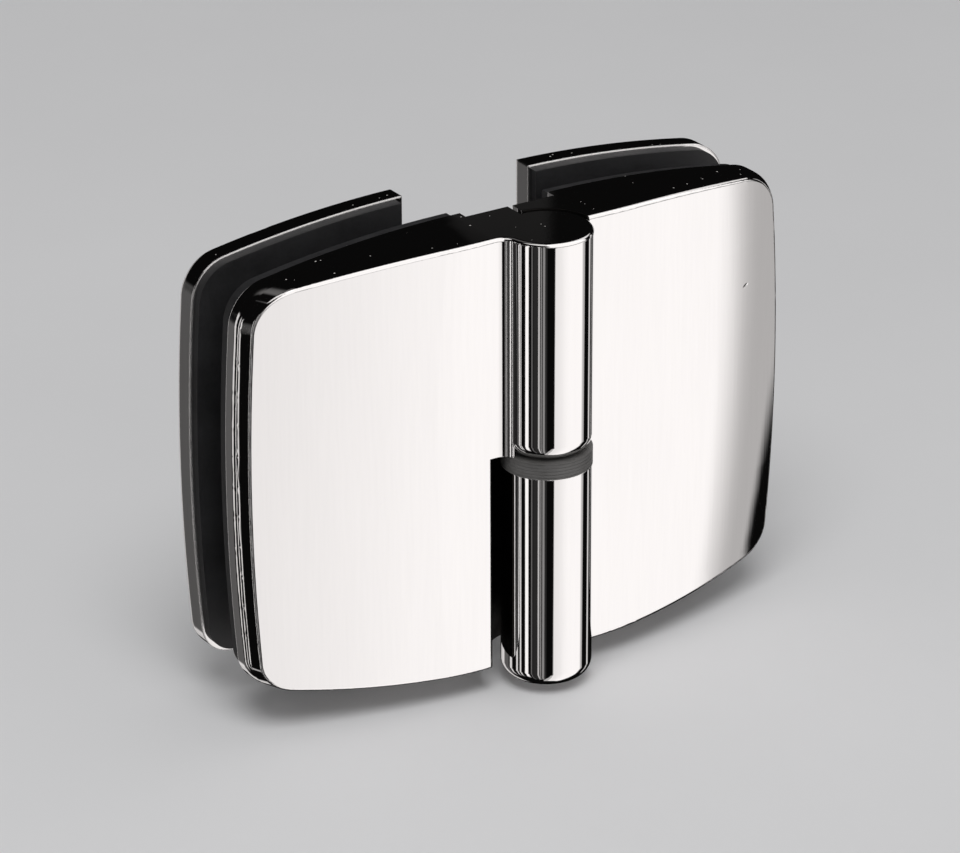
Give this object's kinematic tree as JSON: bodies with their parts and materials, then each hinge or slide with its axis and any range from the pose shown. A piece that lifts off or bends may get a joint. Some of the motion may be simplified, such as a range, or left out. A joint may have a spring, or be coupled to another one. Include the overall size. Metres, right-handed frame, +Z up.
{
  "type": "glass door hinge",
  "caption": "Chrome glass-to-glass shower door hinge: bowed leaves that clamp the panes, a split knuckle with a plastic washer, and rear clamping plates.",
  "frame": {"origin": "front surface of the fixed pane, midway between the two clamping screws of the fixed leaf", "axes": "+X along the fixed pane away from the door, +Y from the visible front through the glass, +Z up along the knuckle axis"},
  "size_m": [0.1118, 0.0386, 0.0839],
  "materials": {
    "chrome_front": "polished chrome plate",
    "chrome_rear": "polished chrome plate",
    "stainless": "turned stainless steel",
    "gasket": "matt",
    "washer_plastic": "satin",
    "bush_plastic": "satin",
    "bearing_plastic": "satin"
  },
  "bodies": {
    "fixed_side": {"fixed_leaf": "chrome_front", "fixed_front_gasket": "gasket", "fixed_rear_gasket": "gasket", "fixed_rear_plate": "chrome_rear", "fixed_upper_screw": "stainless", "fixed_upper_glass_bush": "bush_plastic", "fixed_lower_screw": "stainless", "fixed_lower_glass_bush": "bush_plastic", "hinge_pin": "stainless", "knuckle_washer": "washer_plastic", "pin_grub_screw": "stainless"},
    "door_side": {"door_leaf": "chrome_front", "door_front_gasket": "gasket", "door_rear_gasket": "gasket", "door_rear_plate": "chrome_rear", "door_upper_screw": "stainless", "door_upper_glass_bush": "bush_plastic", "door_lower_screw": "stainless", "door_lower_glass_bush": "bush_plastic", "lower_bearing": "bearing_plastic", "upper_bearing": "bearing_plastic"}
  },
  "joints": [
    {"name": "door_swing", "type": "hinge", "parent": "fixed_side", "child": "door_side", "pos_m": [-0.032, -0.0164, 0], "axis": [0, 0, 1], "range_deg": [0, 160]}
  ]
}
